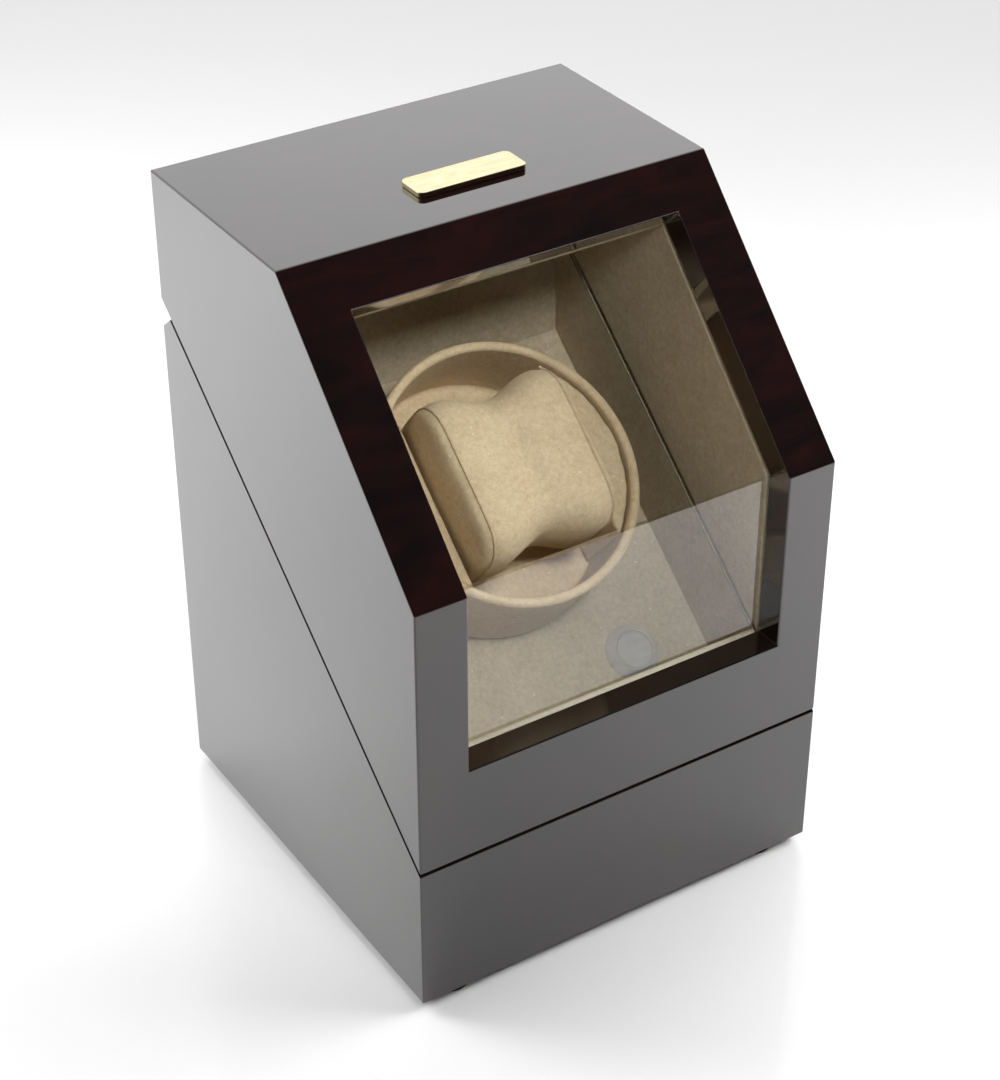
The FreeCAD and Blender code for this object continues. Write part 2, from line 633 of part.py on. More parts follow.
housing_outer = deep_block("HousingOuter", "box_left - gearbox_wall", "box_right + gearbox_wall",
                           "box_low - gearbox_wall", "box_high + gearbox_wall", "gearbox_foot", "gearbox_roof")
housing_flange = deep_block("HousingFlange", "box_left - screw_flange - gearbox_wall",
                            "box_right + screw_flange + gearbox_wall", "box_low + screw_flange/4",
                            "box_high - screw_flange/4", "gearbox_roof - gearbox_top", "gearbox_roof")
housing_room = deep_block("HousingRoom", "box_left", "box_right", "box_low", "box_high", "gearbox_foot",
                          "gearbox_roof - gearbox_top")
housing_holes = [deep_rod("HousingBush", "bush_radius", "gearbox_top", 0, 0, "gearbox_roof - gearbox_top")]
housing_holes += [deep_rod("FlangeHole", "screw_radius", "gearbox_top", x, u, "gearbox_roof - gearbox_top")
                  for x, u in flange_screws]
housing_holes += axle_rods("AxleHole")
keep(cut(fuse([housing_outer, housing_flange]), group([housing_room] + housing_holes)), "gearbox_housing")

cover_slab = deep_block("CoverSlab", "box_left - gearbox_wall", "box_right + gearbox_wall",
                        "box_low - gearbox_wall", "box_high + gearbox_wall", "cover_foot", "gearbox_foot")
collar = deep_rod("Collar", "motor_radius + fit_gap + collar_wall", "motor_collar + gearbox_top", "motor_x",
                  "motor_u", "cover_foot - motor_collar")
collar_room = deep_rod("CollarRoom", "motor_radius + fit_gap", "motor_collar", "motor_x", "motor_u",
                       "cover_foot - motor_collar")
motor_hole = deep_rod("MotorHole", "motor_shaft_radius + 1", "gearbox_top", "motor_x", "motor_u", "cover_foot")
cover_openings = [collar_room, motor_hole] + axle_rods("CoverAxle")
keep(cut(fuse([cover_slab, collar]), group(cover_openings)), "gearbox_cover")
keep(group(axle_rods("Axle")), "gear_axles")

motor_can = deep_rod("MotorCan", "motor_radius", "motor_length", "motor_x", "motor_u",
                     "cover_foot - motor_length")
motor_tail = deep_rod("MotorTail", "motor_radius/2", "collar_wall", "motor_x", "motor_u",
                      "cover_foot - motor_length - collar_wall")
motor_bore = deep_rod("MotorBore", "motor_shaft_radius + motor_hole_gap", "motor_length - motor_collar",
                      "motor_x", "motor_u", "cover_foot - motor_length + motor_collar")
keep(cut(fuse([motor_can, motor_tail]), motor_bore), "motor")
keep(deep_rod("MotorShaft", "motor_shaft_radius", "motor_length - motor_collar + gearbox_foot - cover_foot"
              " + gear_space + gear_width - fit_gap", "motor_x", "motor_u",
              "cover_foot - motor_length + motor_collar + fit_gap"), "motor_shaft")


def hanging_screw(name, x, u):
    """Screw driven up through the gearbox flange into the panel."""
    head = deep_rod(name + "Head", "screw_head", "screw_head_thick", x, u,
                    "gearbox_roof - gearbox_top - screw_head_thick")
    shank = deep_rod(name + "Shank", "screw_radius", "screw_grip + gearbox_top + screw_head_thick", x, u,
                     "gearbox_roof - gearbox_top - screw_head_thick")
    return fuse([head, shank], name)


keep(group([hanging_screw("GearboxScrew", x, u) for x, u in flange_screws]), "gearbox_screws")

# Control button.

bezel_bore = "cap_radius + cap_gap"
tilted(revolved("button_bezel", [
    (bezel_bore, "bezel_height"), (bezel_bore, "ledge_top"), ("stem_radius + cap_gap", "ledge_top"),
    ("stem_radius + cap_gap", "ledge_foot"), (bezel_bore, "ledge_foot"), (bezel_bore, "-barrel_length"),
    ("barrel_radius", "-barrel_length"), ("barrel_radius", "0"), ("bezel_radius", "0"),
    ("bezel_radius", "bezel_lip"), ("bezel_top_radius", "bezel_height")]), "button_x", "button_u")
tilted(revolved("button_cap", [
    ("0", "bezel_height"), ("0", "-barrel_length - switch_bore/2"),
    ("stem_radius", "-barrel_length - switch_bore/2"), ("stem_radius", "ledge_foot - stop_gap - clip_thick"),
    ("clip_radius", "ledge_foot - stop_gap - clip_thick"),
    ("clip_radius", "ledge_foot - stop_gap"), ("stem_radius", "ledge_foot - stop_gap"),
    ("stem_radius", "cap_under"), ("cap_radius", "cap_under"), ("cap_radius", "bezel_height - cap_round"),
    ("cap_radius - cap_round", "bezel_height")]), "button_x", "button_u")
nut_blank = tilted(primitive("Prism", "NutBlank", Circumradius="nut_radius", Height="nut_thick"),
                   "button_x", "button_u", "-panel - nut_thick")
nut_bore = deep_rod("NutBore", "barrel_radius", "nut_thick", "button_x", "button_u", "-panel - nut_thick")
keep(cut(nut_blank, nut_bore), "bezel_nut")
switch_block = deep_block("SwitchBlock", "button_x - switch_length/2", "button_x + switch_length/2",
                          "button_u - switch_width/2", "button_u + switch_width/2",
                          "-barrel_length - switch_depth", "-barrel_length")
switch_well = deep_rod("SwitchWell", "stem_radius + cap_gap", "switch_bore", "button_x", "button_u",
                       "-barrel_length - switch_bore")
keep(cut(switch_block, switch_well), "switch_body")

# Electrics.

board_y = "rear_in - spacer_length - board_thick"
board_z = "under + board_height - board_width/2"
board_plate = block("BoardPlate", "board_length", "board_thick", "board_width", "board_x",
                    board_y + " + board_thick/2", board_z)
chips = [block("Chip", "chip_length", "chip_height", "chip_width", "board_x + (%s)" % x,
               board_y + " - chip_height/2", board_z + " + (%s)" % z)
         for x, z in (("-board_length/4", "board_width/2"), ("board_length/4", "board_width/8"))]


def along_y(name, radius, length, x, y_low, z):
    """Rod along Y from y_low towards the rear."""
    piece = primitive("Cylinder", name, Radius=radius, Height=length)
    piece.Placement = FreeCAD.Placement(Vector(), FreeCAD.Rotation(Vector(1, 0, 0), 90))
    return place(piece, x, "(%s) + (%s)" % (y_low, length), z)


spacer_spots = [("board_x %s (board_length/2 - spacer_inset)" % side,
                 board_z + " + board_width/2 %s (board_width/2 - spacer_inset)" % level)
                for side in "+-" for level in "+-"]
pegs = [along_y("Peg", "spacer_radius/2", "board_thick + spacer_length", x, board_y, z)
        for x, z in spacer_spots]
peg_holes = [along_y("PegHole", "spacer_radius/2", "board_thick", x, board_y, z) for x, z in spacer_spots]
spacers = [fuse([along_y("Spacer", "spacer_radius", "spacer_length", x, "rear_in - spacer_length", z), peg])
           for (x, z), peg in zip(spacer_spots, pegs)]
keep(cut(fuse([board_plate] + chips), group(peg_holes)), "circuit_board")
keep(group(spacers), "board_spacers")

jack_shell = fuse([jack_rod("JackFlange", "jack_flange_radius", "jack_flange", "jack_flange"),
                   jack_rod("JackBarrel", "jack_radius", "jack_length", "jack_length")])
jack_socket = cut(jack_shell, jack_rod("JackBore", "jack_bore", "jack_depth", "jack_depth"))
keep(fuse([jack_socket, jack_rod("JackPin", "jack_pin", "jack_depth", "jack_depth - jack_pin")]), "dc_jack")
jack_nut = primitive("Prism", "JackNut", Circumradius="jack_nut", Height="nut_thick")
jack_nut.Placement = FreeCAD.Placement(Vector(), FreeCAD.Rotation(Vector(1, 0, 0), 90))
place(jack_nut, "jack_x", "rear_in", "under + jack_height")
jack_nut_bore = along_y("JackNutBore", "jack_radius", "nut_thick", "jack_x", "rear_in - nut_thick",
                        "under + jack_height")
keep(cut(jack_nut, jack_nut_bore), "jack_nut")

# Lid.


def slope_at(down, depth):
    """Point (y, z) down the slope from the top's front edge, and in from its outer face."""
    return ("top_front - (%s)*slope_cos + (%s)*slope_sin" % (down, depth),
            "top - (%s)*slope_sin - (%s)*slope_cos" % (down, depth))


def break_at(depth, up="0", down="0"):
    """Point (y, z) on the mitre where the slope meets the front, in from the outer faces."""
    return ("front + (%s) + (%s)*slope_cos" % (depth, up),
            "break_z - (%s)*break_miter + (%s)*slope_sin - (%s)" % (depth, up, down))


def corner_at(depth):
    """Point (y, z) on the mitre where the slope meets the top."""
    return ("top_front + (%s)*top_miter" % depth, "top - (%s)" % depth)


def lid_side(label, start, outer_face):
    body = board(label, [("front", "split_z"), ("rear", split_at("rear")), ("rear", "top"),
                         ("top_front", "top"), ("front", "break_z")], "wall", start)
    round_edges(body, "edge_round", lambda point: abs(point.x - outer_face) < 0.01)
    return body


lid_side("lid_left_side", "-width/2", 0)
lid_side("lid_right_side", "side_in", value("wall"))
board("lid_top_panel", [corner_at("0"), corner_at("wall"), ("rear", "top - wall"), ("rear", "top")],
      "2*side_in")
lid_rear_wood = board("lid_rear_wood", [("rear_in", split_at("rear_in")), ("rear", split_at("rear")),
                                        ("rear", "top - wall"), ("rear_in", "top - wall")], "2*side_in")
parts.remove(lid_rear_wood)
keep(cut(lid_rear_wood, hinge_mortise("LidMortise", "tilt", "0", "+")), "lid_rear_panel")

pane_depth = "(wall - glass)"
rabbet_width = "window_width + 2*glass_seat"
front_frame = board("lid_front_frame", [("front", "split_z"), ("front_in", split_at("front_in")),
                                        break_at("wall"), break_at("0")], "2*side_in")
pocket(front_frame, [("front - wall", "sill"), ("front_in + wall", "sill"), ("front_in + wall", "top"),
                     ("front - wall", "top")], "window_width")
pocket(front_frame, [("front + " + pane_depth, "sill - glass_seat"), ("front_in + wall", "sill - glass_seat"),
                     ("front_in + wall", "top"), ("front + " + pane_depth, "top")], rabbet_width)
slope_frame = board("lid_slope_frame", [break_at("0"), break_at("wall"), corner_at("wall"), corner_at("0")],
                    "2*side_in")
beyond = "(slope_length + wall)"
pocket(slope_frame, [slope_at("window_top_margin", "-wall"), slope_at("window_top_margin", "2*wall"),
                     slope_at(beyond, "2*wall"), slope_at(beyond, "-wall")], "window_width")
seat_down = "(window_top_margin - glass_seat)"
pocket(slope_frame, [slope_at(seat_down, pane_depth), slope_at(seat_down, "2*wall"),
                     slope_at(beyond, "2*wall"), slope_at(beyond, pane_depth)], rabbet_width)

pane_width = "window_width + 2*(glass_seat - glass_gap)"
board("front_pane", [("front + " + pane_depth, "sill - glass_seat + glass_gap"),
                     ("front_in", "sill - glass_seat + glass_gap"),
                     break_at("wall", "0", "glass_gap/2"),
                     break_at(pane_depth, "0", "glass_gap/2")], pane_width)
board("slope_pane", [break_at(pane_depth, "glass_gap/2"), break_at("wall", "glass_gap/2"),
                     slope_at(seat_down + " + glass_gap", "wall"),
                     slope_at(seat_down + " + glass_gap", pane_depth)], pane_width)

lid_lining_foot = "-lining_gap/2"
lid_lining = [("front_in", plane_at("lip_z", "front_in", lid_lining_foot)),
              ("tub_rear_out", plane_at("lip_z", "tub_rear_out", lid_lining_foot)),
              ("tub_rear_out", "top - wall"), corner_at("wall"), break_at("wall")]
board("lid_left_lining", lid_lining, "lining + nest_gap", "-side_in")
board("lid_right_lining", lid_lining, "lining + nest_gap", "tub_in")
board("lid_rear_lining", [("tub_rear", plane_at("lip_z", "tub_rear", lid_lining_foot)),
                          ("tub_rear_out", plane_at("lip_z", "tub_rear_out", lid_lining_foot)),
                          ("tub_rear_out", "top - wall - top_lining"),
                          ("tub_rear", "top - wall - top_lining")], "2*tub_in")
board("lid_top_lining", [slope_at("window_top_margin", "wall"),
                         slope_at("window_top_margin", "wall + top_lining"),
                         corner_at("(wall + top_lining)"), ("tub_rear_out", "top - wall - top_lining"),
                         ("tub_rear_out", "top - wall"), corner_at("wall")], "2*tub_in")
lining_face = "(front_in + front_lining)"
board("lid_front_lining", [("front_in", split_at("front_in", "-split_gap")),
                           (lining_face, split_at(lining_face, "-split_gap")),
                           (lining_face, "sill"), ("front_in", "sill")], "2*(tub_in - nest_gap)")

plate_blank = block("PlateBlank", "plate_length", "plate_width", "plate_thick", "plate_shift", "plate_y", "top")
doc.recompute()
plate_round = doc.addObject("Part::Fillet", "PlateRound")
plate_round.Base = plate_blank
plate_round.Edges = [(number, value("plate_corner"), value("plate_corner"))
                     for number, edge in enumerate(plate_blank.Shape.Edges, start=1)
                     if edge.BoundBox.ZLength > value("plate_thick")/2]
keep(plate_round, "name_plate")

# Hinges.

third = "(leaf_length/3)"


def leaves(label, angle, foot, knuckle_shifts, other_shifts, bore):
    """Both hinges' leaves on one side, with their share of the knuckles."""
    items = []
    for x in hinge_spots:
        plate = primitive("Box", label + "Plate", Length="leaf_length", Width="leaf_width", Height="leaf_thick")
        on_ray(plate, angle, "(%s) - leaf_length/2" % x, "0", foot)
        knuckles = [hinge_rod(label + "Knuckle", "knuckle_radius", third + " - hinge_gap", x + shift)
                    for shift in knuckle_shifts]
        rooms = [hinge_rod(label + "Room", "knuckle_radius + hinge_gap", third + " + hinge_gap", x + shift)
                 for shift in other_shifts]
        leaf = fuse([cut(plate, fuse(rooms))] + knuckles)
        holes = [hinge_rod(label + "Bore", bore, "leaf_length", x)]
        for side in "-+":
            shank = primitive("Cylinder", label + "Shank", Radius="hinge_screw", Height="leaf_thick")
            holes.append(on_ray(shank, angle, x + side + "hinge_screw_x", "hinge_screw_along", foot))
            head = primitive("Cylinder", label + "Sink", Radius="hinge_screw_head", Height="hinge_screw_sink")
            sink_foot = foot if foot == "0" else foot + " + leaf_thick - hinge_screw_sink"
            holes.append(on_ray(head, angle, x + side + "hinge_screw_x", "hinge_screw_along", sink_foot))
        items.append(cut(leaf, fuse(holes)))
    keep(group(items), label)


leaves("hinge_base_leaves", "(-chamfer_angle)", "leaf_drop - leaf_thick", (" - " + third, " + " + third),
       ("",), "hinge_pin")
leaves("hinge_lid_leaves", "tilt", "0", ("",), (" - " + third, " + " + third), "hinge_pin + run_gap")
keep(group([hinge_rod("HingePin", "hinge_pin", "leaf_length", x) for x in hinge_spots]), "hinge_pins")


def leaf_screws(label, angle, face, inward):
    items = []
    for x in screw_spots:
        head = primitive("Cylinder", label + "Head", Radius="hinge_screw_head", Height="hinge_screw_sink")
        shank = primitive("Cylinder", label + "Shank", Radius="hinge_screw", Height="hinge_screw_length")
        on_ray(head, angle, x, "hinge_screw_along", face if inward == "+" else face + " - hinge_screw_sink")
        on_ray(shank, angle, x, "hinge_screw_along", face if inward == "+" else face + " - hinge_screw_length")
        items.append(fuse([head, shank]))
    keep(group(items), label)


leaf_screws("hinge_base_screws", "(-chamfer_angle)", "leaf_drop", "-")
leaf_screws("hinge_lid_screws", "tilt", "0", "+")

# Check and export.

doc.removeObject("Gauge")
doc.recompute()
problems = []
for item in doc.Objects:
    if set(item.State) & {"Invalid", "Error"}:
        problems.append("%s: %s" % (item.Name, item.State))
for piece in parts:
    if piece.Shape.isNull() or not piece.Shape.isValid() or not piece.Shape.Solids:
        problems.append("%s: bad shape" % piece.Label)
if problems:
    raise RuntimeError("; ".join(problems))
os.makedirs("parts", exist_ok=True)
for piece in parts:
    piece.Shape.exportStep("parts/" + piece.Label + ".step")
    box = piece.Shape.BoundBox
    print("%-20s %2d solids  x %7.2f %7.2f  y %7.2f %7.2f  z %7.2f %7.2f" % (
        piece.Label, len(piece.Shape.Solids), box.XMin, box.XMax, box.YMin, box.YMax, box.ZMin, box.ZMax))
print(len(parts), "pieces")
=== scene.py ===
import json
import math

import bpy
from mathutils import Matrix, Vector


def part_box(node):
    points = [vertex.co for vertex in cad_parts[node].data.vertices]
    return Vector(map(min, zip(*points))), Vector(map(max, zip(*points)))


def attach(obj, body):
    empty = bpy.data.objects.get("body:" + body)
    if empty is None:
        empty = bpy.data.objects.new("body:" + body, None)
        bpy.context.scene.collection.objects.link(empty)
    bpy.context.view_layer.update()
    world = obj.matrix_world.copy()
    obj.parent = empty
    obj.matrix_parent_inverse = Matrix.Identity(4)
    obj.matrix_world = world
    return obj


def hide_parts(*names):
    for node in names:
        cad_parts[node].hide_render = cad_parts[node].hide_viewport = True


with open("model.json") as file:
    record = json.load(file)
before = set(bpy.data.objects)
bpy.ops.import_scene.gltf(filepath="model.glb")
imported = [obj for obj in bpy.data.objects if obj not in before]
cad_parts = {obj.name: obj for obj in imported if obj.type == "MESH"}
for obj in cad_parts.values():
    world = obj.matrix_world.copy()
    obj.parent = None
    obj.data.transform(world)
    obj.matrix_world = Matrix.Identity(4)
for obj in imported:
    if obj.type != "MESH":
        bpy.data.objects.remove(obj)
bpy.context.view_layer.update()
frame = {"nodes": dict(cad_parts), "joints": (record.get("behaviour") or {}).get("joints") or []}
nodes = frame["nodes"]
joints = {joint["name"]: joint for joint in frame["joints"]}
mm = 0.001

# places read from the frame

panelUp = Vector(joints["drum_spin"]["axis"])        # out of the tilted panel, along the drum's axis
panelRise = Vector((0, panelUp.z, -panelUp.y))       # up the tilted panel
panelHeart = Vector(joints["drum_spin"]["pos_m"])    # where the drum's axis meets the panel's face
hingeLine = Vector(joints["lid_hinge"]["pos_m"])
panelFrame = Matrix.Translation(panelHeart) @ Matrix(
    ((1, 0, 0, 0), (0, panelRise.y, panelUp.y, 0), (0, panelRise.z, panelUp.z, 0), (0, 0, 0, 1)))
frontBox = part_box("base_front_panel")
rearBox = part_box("base_rear_panel")
caseLow = Vector((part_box("base_left_side")[0].x, frontBox[0].y, frontBox[0].z))
caseHigh = Vector((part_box("base_right_side")[1].x, rearBox[1].y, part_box("lid_top_panel")[1].z))
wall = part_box("base_left_side")[1].x - caseLow.x
breakPoint = Vector((0, caseLow.y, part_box("lid_front_frame")[1].z))
topEdge = Vector((0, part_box("lid_top_panel")[0].y, caseHigh.z))
slopeAlong = (topEdge - breakPoint).normalized()
slopeOut = Vector((0, -slopeAlong.z, slopeAlong.y))
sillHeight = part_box("lid_front_lining")[1].z
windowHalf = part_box("tub_right_wall")[0].x


# modelling helpers

def selectOnly(piece):
    if bpy.context.object and bpy.context.object.mode != "OBJECT":
        bpy.ops.object.mode_set(mode="OBJECT")
    bpy.ops.object.select_all(action="DESELECT")
    if piece:
        piece.select_set(True)
        bpy.context.view_layer.objects.active = piece
    return piece


def named(name):
    piece = bpy.context.object
    piece.name = name
    piece.data.name = name
    bpy.ops.object.transform_apply(location=True, rotation=True, scale=True)
    return piece


def block(name, low, high):
    selectOnly(None)
    low, high = Vector(low), Vector(high)
    bpy.ops.mesh.primitive_cube_add(size=1, location=(low + high)/2, scale=high - low)
    return named(name)


def roundBar(name, radius, low, high, sides=96, centre=(0, 0)):
    selectOnly(None)
    bpy.ops.mesh.primitive_cylinder_add(vertices=sides, radius=radius, depth=high - low,
                                        location=(centre[0], centre[1], (low + high)/2))
    return named(name)


def editAll(piece):
    selectOnly(piece)
    bpy.ops.object.mode_set(mode="EDIT")
    bpy.ops.mesh.select_all(action="SELECT")


def editDone():
    bpy.ops.object.mode_set(mode="OBJECT")


def trim(piece, point, outward):
    editAll(piece)
    bpy.ops.mesh.bisect(plane_co=point, plane_no=outward, use_fill=True, clear_outer=True)
    editDone()
    return piece


def modify(piece, kind, **settings):
    selectOnly(piece)
    modifier = piece.modifiers.new(kind.title(), kind)
    for key, value in settings.items():
        setattr(modifier, key, value)
    bpy.ops.object.modifier_apply(modifier=modifier.name)
    return piece


def carve(piece, *tools):
    for tool in tools:
        modify(piece, "BOOLEAN", operation="DIFFERENCE", solver="EXACT", object=tool)
        bpy.data.objects.remove(tool)
    return piece


def soften(piece, width, segments=3, angle=30, harden=True):
    modify(piece, "BEVEL", width=width, segments=segments, limit_method="ANGLE",
           angle_limit=math.radians(angle), harden_normals=harden, use_clamp_overlap=True, profile=0.5)
    selectOnly(piece)
    if not harden:
        bpy.ops.object.shade_smooth_by_angle(angle=math.radians(40))
    return piece


def softenWhere(piece, width, segments, test):
    # rounds only the edges whose middle and direction pass the test
    weights = piece.data.attributes.get("bevel_weight_edge")
    weights = weights or piece.data.attributes.new("bevel_weight_edge", "FLOAT", "EDGE")
    for edge in piece.data.edges:
        first, last = [piece.data.vertices[index].co for index in edge.vertices]
        weights.data[edge.index].value = 1.0 if test((first + last)/2, (last - first).normalized()) else 0.0
    modify(piece, "BEVEL", width=width, segments=segments, limit_method="WEIGHT", harden_normals=True)
    piece.data.attributes.remove(piece.data.attributes["bevel_weight_edge"])
    return piece


def moveTo(piece, matrix):
    piece.matrix_world = matrix
    selectOnly(piece)
    bpy.ops.object.transform_apply(location=True, rotation=True, scale=True)
    return piece


def copyNode(node, name):
    source = nodes[node]
    piece = source.copy()
    piece.data = source.data.copy()
    for key in list(piece.keys()):
        del piece[key]
    piece.parent = None
    piece.matrix_world = Matrix.Identity(4)
    piece.name = name
    piece.data.name = name
    bpy.context.scene.collection.objects.link(piece)
    editAll(piece)
    bpy.ops.mesh.remove_doubles(threshold=1e-6)
    bpy.ops.mesh.customdata_custom_splitnormals_clear()
    bpy.ops.mesh.dissolve_limited(angle_limit=math.radians(0.6))
    editDone()
    return piece


def joined(name, pieces):
    selectOnly(pieces[0])
    for piece in pieces:
        piece.select_set(True)
    bpy.ops.object.join()
    pieces[0].name = name
    pieces[0].data.name = name
    return pieces[0]


def finishPiece(piece, material, body, slotName, *replaced):
    piece.data.materials.clear()
    piece.data.materials.append(material)
    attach(piece, body)
    if replaced:
        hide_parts(*replaced)
    return piece


# shader helpers

class Wire:
    # one shader socket; an expression on it adds the Math nodes it needs

    def __init__(self, finish, socket):
        self.finish = finish
        self.socket = socket

    def math(self, operation, first, second):
        return self.finish.add("ShaderNodeMath", {"operation": operation}, {0: first, 1: second})

    def __add__(self, other):
        return self.math("ADD", self, other)

    def __radd__(self, other):
        return self.math("ADD", other, self)

    def __sub__(self, other):
        return self.math("SUBTRACT", self, other)

    def __rsub__(self, other):
        return self.math("SUBTRACT", other, self)

    def __mul__(self, other):
        return self.math("MULTIPLY", self, other)

    def __rmul__(self, other):
        return self.math("MULTIPLY", other, self)

    def __lt__(self, other):
        return self.math("LESS_THAN", self, other)

    def __gt__(self, other):
        return self.math("GREATER_THAN", self, other)


class Finish:
    # the nodes of one material, or of the world

    def __init__(self, name, world=None):
        self.material = world or bpy.data.materials.new(name)
        self.material.use_nodes = True
        self.tree = self.material.node_tree
        self.tree.nodes.clear()
        self.place = self.add("ShaderNodeTexCoord", {}, {}, "Object")

    def add(self, kind, settings, sockets, output=0):
        node = self.tree.nodes.new(kind)
        for key, value in settings.items():
            setattr(node, key, value)
        for key, value in sockets.items():
            if isinstance(value, Wire):
                self.tree.links.new(value.socket, node.inputs[key])
            else:
                node.inputs[key].default_value = value
        return Wire(self, node.outputs[output]) if node.outputs else None

    def math(self, operation, first):
        return self.add("ShaderNodeMath", {"operation": operation}, {0: first})

    def stretched(self, scale):
        return self.add("ShaderNodeMapping", {}, {"Vector": self.place, "Scale": scale})

    def noise(self, scale, detail=2.0, roughness=0.5, vector=None, distortion=0.0):
        sockets = {"Vector": vector or self.place, "Scale": scale, "Detail": detail,
                   "Roughness": roughness, "Distortion": distortion}
        return self.add("ShaderNodeTexNoise", {}, sockets, "Fac")

    def cells(self, scale, vector=None, randomness=1.0):
        return self.add("ShaderNodeTexVoronoi", {}, {"Vector": vector or self.place, "Scale": scale,
                                                     "Randomness": randomness}, "Distance")

    def along(self, vector, direction):
        sockets = {0: vector, 1: direction}
        return self.add("ShaderNodeVectorMath", {"operation": "DOT_PRODUCT"}, sockets, "Value")

    def span(self, value, low, high, toLow, toHigh):
        sockets = {0: value, 1: low, 2: high, 3: toLow, 4: toHigh}
        return self.add("ShaderNodeMapRange", {"clamp": True}, sockets)

    def blend(self, factor, first, second):
        return self.add("ShaderNodeMix", {"data_type": "RGBA"}, {0: factor, 6: first, 7: second}, 2)

    def bump(self, height, strength, distance):
        sockets = {"Height": height, "Strength": strength, "Distance": distance}
        return self.add("ShaderNodeBump", {}, sockets)

    def surface(self, **values):
        sockets = {key.replace("_", " "): value for key, value in values.items()}
        shader = self.add("ShaderNodeBsdfPrincipled", {}, sockets)
        self.output(shader)
        return self.material

    def output(self, shader, kind="ShaderNodeOutputMaterial"):
        self.add(kind, {}, {"Surface": shader})


def shade(red, green, blue):
    return (red, green, blue, 1.0)


# finishes

def lacquer():
    look = {"dark": shade(0.0045, 0.0028, 0.0030), "red": shade(0.0150, 0.0042, 0.0042),
            "figure": (26, 150, 26)}
    finish = Finish("lacquer")
    grain = finish.noise(1.0, 5.0, 0.62, finish.stretched(look["figure"]), 1.2)
    cloud = finish.noise(38, 3.0, 0.55)
    colour = finish.blend(finish.span(grain*0.6 + cloud*0.4, 0.38, 0.68, 0.0, 1.0), look["dark"], look["red"])
    smudge = finish.noise(22, 4.0, 0.6)
    ripple = finish.noise(140, 2.0, 0.5)
    return finish.surface(Base_Color=colour, Roughness=finish.span(smudge, 0.3, 0.75, 0.055, 0.11), IOR=1.52,
                          Coat_Weight=1.0, Coat_Roughness=0.015, Coat_IOR=1.5,
                          Normal=finish.bump(ripple, 0.04, 0.0006))


def suede(name, dark, light, speck, sheen=0.35, gapShades=()):
    finish = Finish(name)
    patch = finish.noise(95, 4.0, 0.65)                  # brushed patches of the nap
    fibre = finish.noise(2600, 3.0, 0.7)
    cluster = finish.noise(620, 3.0, 0.6)
    tone = finish.span(patch*0.24 + cluster*0.36 + fibre*0.40, 0.36, 0.64, 0.0, 1.0)
    colour = finish.blend(tone, dark, light)
    lint = finish.cells(330) < 0.085
    sparse = finish.noise(130, 1.0, 0.5) > 0.52
    colour = finish.blend(lint*sparse*0.75, colour, speck)
    pit = finish.cells(520, randomness=1.0) < 0.09
    colour = finish.blend(pit*0.3, colour, dark)
    for point, width in gapShades:                           # painted shade: a dark band along the parting line stands for the shadow in the gap between the boards
        off = finish.math("ABSOLUTE", finish.along(finish.place, panelUp) - point.dot(panelUp))
        facing = finish.add("ShaderNodeTexCoord", {}, {}, "Normal")
        upright = finish.math("ABSOLUTE", finish.along(facing, panelUp)) < 0.8      # not the top of a board
        colour = finish.blend(finish.span(off, width*0.8, width, 1.0, 0.0)*upright, colour,
                              shade(0.012, 0.009, 0.007))
    height = fibre*0.5 + cluster*0.8 + patch*0.6
    return finish.surface(Base_Color=colour, Roughness=finish.span(patch, 0.3, 0.7, 0.9, 1.0),
                          Specular_IOR_Level=0.15, Sheen_Weight=sheen, Sheen_Roughness=0.45, Sheen_Tint=light,
                          Normal=finish.bump(height, 0.55, 0.00045))


def clearGlass():
    look = {"tint": shade(0.955, 0.965, 0.96), "index": 1.52, "bothFaces": 1.75}
    finish = Finish("clearGlass")
    tint = finish.add("ShaderNodeBsdfTransparent", {}, {"Color": look["tint"]})
    dust = finish.noise(900, 2.0, 0.6)
    gloss = finish.add("ShaderNodeBsdfAnisotropic", {}, {
        "Color": shade(1, 1, 1), "Roughness": finish.span(dust, 0.4, 0.8, 0.0, 0.03)})
    mirror = finish.add("ShaderNodeFresnel", {}, {"IOR": look["index"]})
    inside = finish.add("ShaderNodeNewGeometry", {}, {}, "Backfacing")     # a back face reflects nothing more
    share = mirror*look["bothFaces"]*(1 - inside)
    finish.output(finish.add("ShaderNodeMixShader", {}, {0: share, 1: tint, 2: gloss}))
    return finish.material


def brushedMetal(name, dark, light, roughness, scale, metallic=1.0):
    finish = Finish(name)
    lines = finish.noise(1.0, 3.0, 0.7, finish.stretched(scale))
    wear = finish.noise(260, 3.0, 0.6)
    colour = finish.blend(finish.span(lines*0.7 + wear*0.3, 0.35, 0.65, 0.0, 1.0), dark, light)
    dullness = finish.span(lines*0.6 + wear*0.4, 0.3, 0.7, roughness*0.75, roughness*1.3)
    return finish.surface(Base_Color=colour, Metallic=metallic, Roughness=dullness,
                          Normal=finish.bump(lines, 0.12, 0.00008))


def moulded(name, dark, light, roughness, grain=1500, depth=0.25):
    finish = Finish(name)
    fine = finish.noise(grain, 2.0, 0.6)
    cloud = finish.noise(70, 3.0, 0.55)
    colour = finish.blend(finish.span(cloud*0.6 + fine*0.4, 0.35, 0.65, 0.0, 1.0), dark, light)
    dullness = finish.span(cloud, 0.3, 0.7, roughness*0.85, roughness*1.15)
    return finish.surface(Base_Color=colour, Roughness=dullness, Normal=finish.bump(fine, depth, 0.0001))


